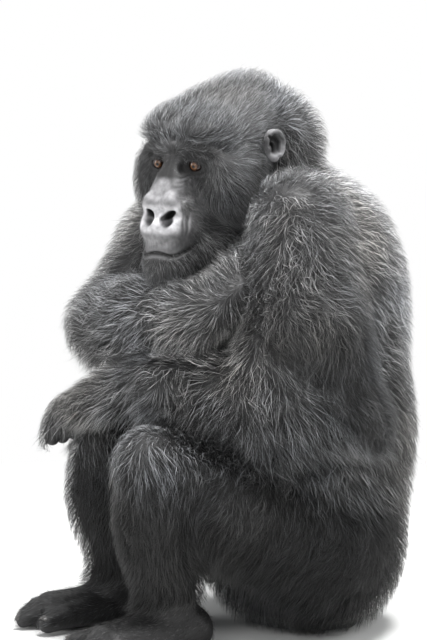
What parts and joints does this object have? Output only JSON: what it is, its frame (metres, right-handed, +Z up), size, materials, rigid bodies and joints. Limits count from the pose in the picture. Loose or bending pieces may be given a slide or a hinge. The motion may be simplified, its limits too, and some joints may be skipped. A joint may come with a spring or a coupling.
{
  "type": "seated mountain gorilla model",
  "caption": "Life-size still model of a mountain gorilla, seated with its knees up, one forearm folded over the chest and the other hand hanging over the knee.",
  "frame": {"origin": "on the floor under the middle of the animal's overall box", "axes": "+Z up, -Y the way the knees and toes point, +X towards the animal's left; the head is turned about 30 degrees to its own left"},
  "size_m": [0.6288, 0.65, 0.9065],
  "materials": {
    "coat": "black fur with a grey-brown sheen",
    "bare_skin": "dark grey wrinkled skin",
    "eye": "wet dark brown"
  },
  "bodies": {
    "root": {"head": "coat", "jaw": "bare_skin", "neck": "coat", "eye_left": "eye", "eye_right": "eye", "ear_left": "bare_skin", "ear_right": "bare_skin", "chest": "coat", "belly": "coat", "pelvis": "coat", "upper_arm_left": "coat", "forearm_left": "coat", "hand_left": "bare_skin", "upper_arm_right": "coat", "forearm_right": "coat", "hand_right": "bare_skin", "thigh_left": "coat", "shin_left": "coat", "foot_left": "bare_skin", "thigh_right": "coat", "shin_right": "coat", "foot_right": "bare_skin"}
  },
  "joints": []
}
